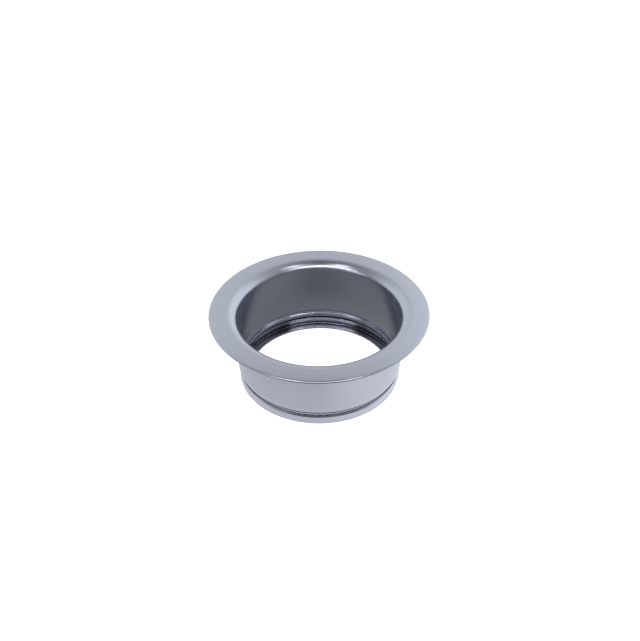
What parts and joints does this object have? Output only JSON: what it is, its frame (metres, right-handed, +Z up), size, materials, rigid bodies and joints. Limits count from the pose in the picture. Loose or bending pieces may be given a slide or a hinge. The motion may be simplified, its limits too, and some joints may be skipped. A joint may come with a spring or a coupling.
{
  "type": "waste disposer sink flange",
  "caption": "Round satin steel sink flange for a waste disposer: a wide flat rim, a rounded mouth and a short sleeve with a mounting groove above a foot ring with an inner ledge.",
  "frame": {"origin": "centre of the foot, on the plane that the flange stands on", "axes": "+Z up along the axis of the sleeve, towards the rim; the flange is round, so +X and +Y are free"},
  "size_m": [0.1142, 0.1142, 0.0412],
  "materials": {
    "satin_stainless": "satin brushed around the axis, bend at the mouth polished",
    "turned_stainless": "fine turned, slightly lighter than the sleeve",
    "black_rubber": "matt moulded"
  },
  "bodies": {
    "root": {"flange_shell": "satin_stainless", "foot_ring": "turned_stainless", "rim_gasket": "black_rubber"}
  },
  "joints": []
}
